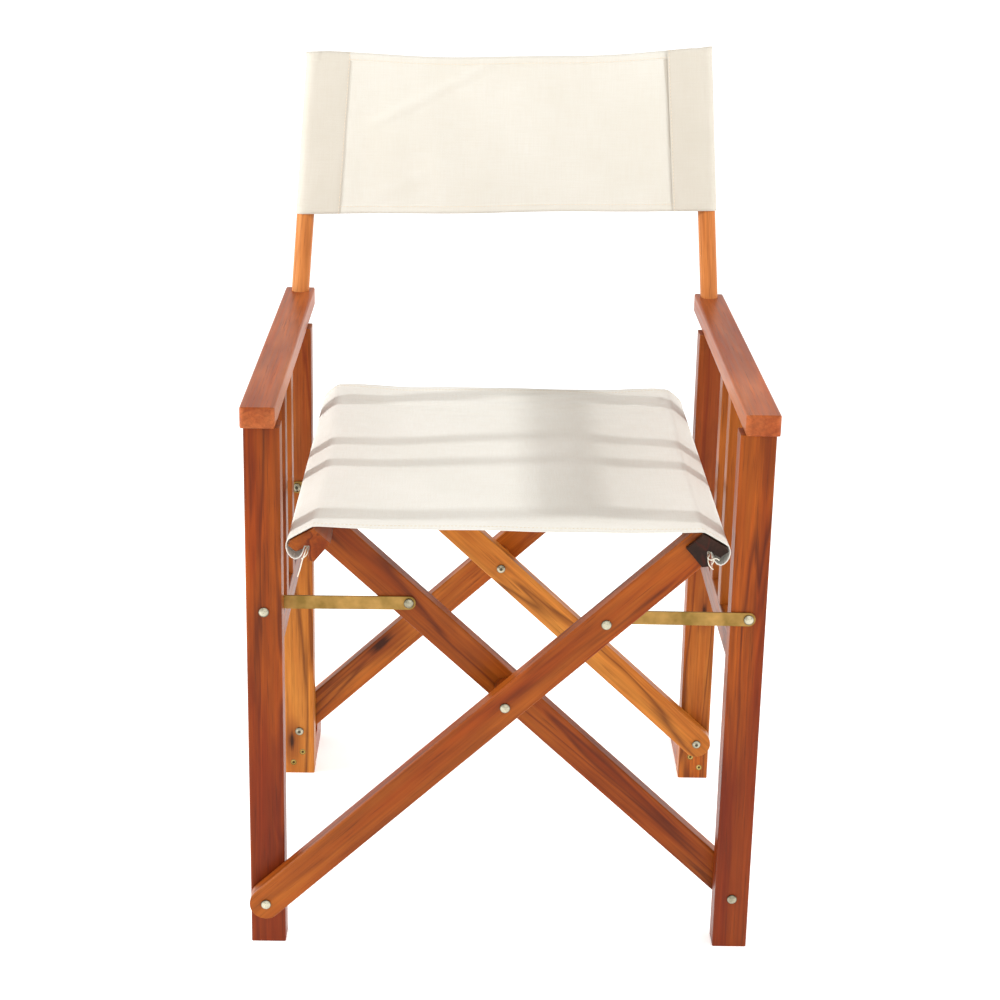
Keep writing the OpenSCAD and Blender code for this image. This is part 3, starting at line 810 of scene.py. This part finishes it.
def stitches(name, tree, lines, material):
    """One mesh of stitches along the given lines of points."""
    points, edges = [], []
    for line in lines:
        start = len(points)
        points += line
        edges += [(start + i, start + i + 1) for i in range(len(line) - 1)]
    mesh = bpy.data.meshes.new(name)
    mesh.from_pydata(points, edges, [])
    obj = link(name, mesh)
    rows = obj.modifiers.new("rows", "NODES")
    rows.node_group = tree
    sockets = {s.name: s.identifier for s in tree.interface.items_tree if s.in_out == "INPUT"}
    rows[sockets["Thread"]] = material
    obj = settled(obj)
    obj.data.shade_smooth()
    return obj


def frayed(name, side, strands, material):
    """Loose yarn ends hanging from the seat's hem at the front of a rail's slot; side is 1 or -1."""
    curve = bpy.data.curves.new(name, "CURVE")
    curve.dimensions = "3D"
    curve.bevel_depth = 0.0006
    curve.bevel_resolution = 1
    curve.resolution_u = 4
    for points in strands:
        spline = curve.splines.new("BEZIER")
        spline.bezier_points.add(len(points) - 1)
        for knot, (x, y, z) in zip(spline.bezier_points, points):
            knot.co = at(side * (RIDGE_X + x), y, RIDGE_Z + z)
            knot.handle_left_type = knot.handle_right_type = "AUTO"
    curve.use_fill_caps = True
    obj = settled(link(name, curve))
    obj.data.shade_smooth()
    put(obj, material)
    return obj


# Each yarn's points: x and z from the rail's ridge, y from the front legs' front faces.
STRANDS_RIGHT = [
    [(8.0, -20, -21.5), (7.2, -25.5, -23.0), (6.0, -27.2, -28.5), (8.5, -27.8, -35.0),
     (12.0, -27.0, -38.5)],
    [(9.2, -20, -21.0), (10.5, -25.0, -24.5), (12.0, -27.0, -29.0), (10.0, -27.5, -33.0)],
    [(7.0, -20, -22.0), (5.0, -26.5, -25.0), (9.0, -28.2, -27.5), (14.0, -27.6, -25.8),
     (18.0, -26.0, -28.5)],
]
STRANDS_LEFT = [
    [(8.0, -20, -21.5), (8.6, -26.0, -24.0), (12.0, -27.6, -34.0), (15.0, -26.5, -46.0),
     (17.5, -25.5, -54.0)],
    [(7.0, -20, -22.0), (6.4, -26.4, -25.5), (9.0, -27.4, -30.0), (13.0, -27.0, -33.5)],
]


def make_seat_cloth(tree, cord):
    """The seat, its hem seams and the loose yarns, held by the two bars that carry the rails."""
    cloth = canvas("seat_weave", ("e6e3da", "ebe8e0"), "ddd4c5")
    thread = thread_material("sewing_thread", "e6d6ba")
    seat, lines, wide = make_seat(cloth)
    seams = stitches("seat_stitches", tree, lines, thread)
    for piece in (seat, seams):
        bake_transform(piece)
    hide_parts("seat_cloth_left", "seat_cloth_right")
    ends = [frayed("frayed_yarn_right", 1, STRANDS_RIGHT, cord),
            frayed("frayed_yarn_left", -1, STRANDS_LEFT, cord)]
    for piece, body in zip(ends, ("leaf_a", "leaf_b")):
        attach(piece, body)


def make_back_cloth(tree):
    """The back's middle, which narrows as the chair folds, and its two sleeves."""
    # the sleeves get a darker copy of the back's canvas: painted shade
    sleeve_cloth = canvas("sleeve_weave_painted_shade", ("ccc5b8", "d2cbbf"), "c6bbaa")
    panel_cloth = canvas("back_weave", ("dbd6cb", "e0dcd3"), "d5ccbc")
    thread = thread_material("back_thread", "ead6bf")
    panel = make_back_panel(panel_cloth)
    hems = stitches("back_hem_stitches", tree, back_hem_lines(), thread)
    for piece in (panel, hems):
        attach(piece, "frame_left")
        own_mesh(piece)
    around = sleeve_section()[-1][1] * MM
    for side, word in ((-1, "left"), (1, "right")):
        sleeve, seam = make_sleeve(f"back_sleeve_{word}", side, sleeve_cloth)
        row = stitches(f"sleeve_stitches_{word}", tree, [seam], thread)
        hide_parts(f"back_cloth_{word}")
        for piece in (sleeve, row):
            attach(piece, f"frame_{word}")


def make_cloth():
    """The cords in the rails' slots, the seat and the back."""
    cord = thread_material("hem_cord_cotton", "e8e0cf")
    for side in ("left", "right"):
        put(nodes[f"hem_cord_{side}"], cord)
    tree = stitch_tree()
    make_seat_cloth(tree, cord)
    make_back_cloth(tree)


bpy.context.scene.view_settings.view_transform = "Standard"
make_camera()
make_lamps()
make_sky()
make_floor()
dress_wood()
dress_fittings()
make_cloth()
